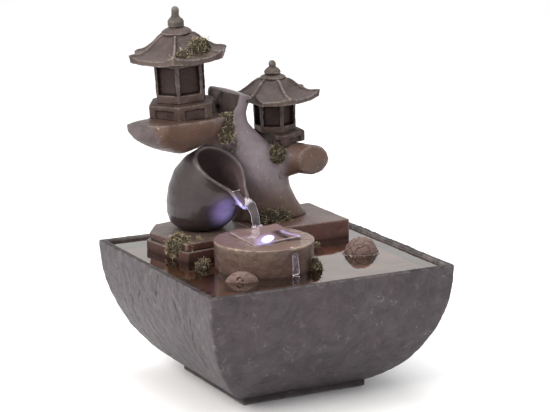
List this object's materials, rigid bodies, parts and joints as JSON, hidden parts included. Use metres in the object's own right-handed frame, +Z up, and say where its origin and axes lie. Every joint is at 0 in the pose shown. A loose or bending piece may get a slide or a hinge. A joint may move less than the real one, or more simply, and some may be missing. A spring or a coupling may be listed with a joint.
{
  "type": "tabletop fountain",
  "caption": "Tabletop fountain with a square curved stone-look bowl, a carved trunk with two pagoda lanterns, a pouring jug and a lit round stone.",
  "frame": {"origin": "middle of the foot on the table", "axes": "+X along the bowl's front edge to the right, +Y to the back, +Z up; the jug pours to the front"},
  "size_m": [0.19, 0.1987, 0.2687],
  "materials": {
    "bowl_stone": "satin",
    "pad_rubber": "matt",
    "deck_resin": "matt",
    "pump_plastic": "satin",
    "nut_metal": "satin",
    "shaft_ceramic": "satin",
    "impeller_plastic": "satin",
    "magnet": "satin",
    "slider_plastic": "satin",
    "lead_rubber": "satin",
    "disc_stone": "wet",
    "clear_resin": "clear",
    "board": "satin",
    "led": "gloss",
    "pebble_stone": "pitted",
    "moss": "fibrous",
    "slate_resin": "matt",
    "wood_resin": "carved, satin",
    "jug_ceramic": "satin",
    "lantern_resin": "worn, satin"
  },
  "bodies": {
    "bowl": {"bowl": "bowl_stone", "foot_sheet": "pad_rubber", "deck": "deck_resin", "power_inlet": "pump_plastic", "inlet_seal": "pad_rubber", "inlet_nut": "nut_metal", "pump_body": "pump_plastic", "pump_cover": "pump_plastic", "suction_cups": "pad_rubber", "impeller_shaft": "shaft_ceramic", "pump_lead": "lead_rubber", "lamp_lead": "lead_rubber", "light_stone": "disc_stone", "lens": "clear_resin", "lens_gasket": "pad_rubber", "lamp_housing": "pump_plastic", "lamp_board": "board", "lamp_emitter": "led", "front_stone": "pebble_stone", "right_stone": "pebble_stone", "waterline_moss": "moss"},
    "sculpture": {"rear_slate": "slate_resin", "upper_slate": "slate_resin", "lower_slate": "slate_resin", "trunk": "wood_resin", "left_limb": "wood_resin", "short_limb": "wood_resin", "jug": "jug_ceramic", "feed_tube": "clear_resin", "tall_base": "lantern_resin", "tall_box": "lantern_resin", "tall_roof": "lantern_resin", "tall_cap": "lantern_resin", "tall_finial": "lantern_resin", "short_base": "lantern_resin", "short_box": "lantern_resin", "short_roof": "lantern_resin", "short_cap": "lantern_resin", "short_finial": "lantern_resin", "roof_moss": "moss", "limb_moss": "moss", "fork_moss": "moss", "foot_moss": "moss", "slate_moss": "moss"},
    "rotor": {"impeller": "impeller_plastic", "rotor_magnet": "magnet"},
    "flow_slider": {"flow_slider": "slider_plastic"}
  },
  "joints": [
    {"name": "sculpture_lift", "type": "slide", "parent": "bowl", "child": "sculpture", "axis": [0, 0, 1], "range_m": [0, 0.08]},
    {"name": "impeller_spin", "type": "hinge", "parent": "bowl", "child": "rotor", "pos_m": [-0.012, 0.0335, 0.029], "axis": [1, 0, 0], "continuous": true},
    {"name": "flow_slide", "type": "slide", "parent": "bowl", "child": "flow_slider", "axis": [0, 1, 0], "range_m": [0, 0.006]}
  ]
}
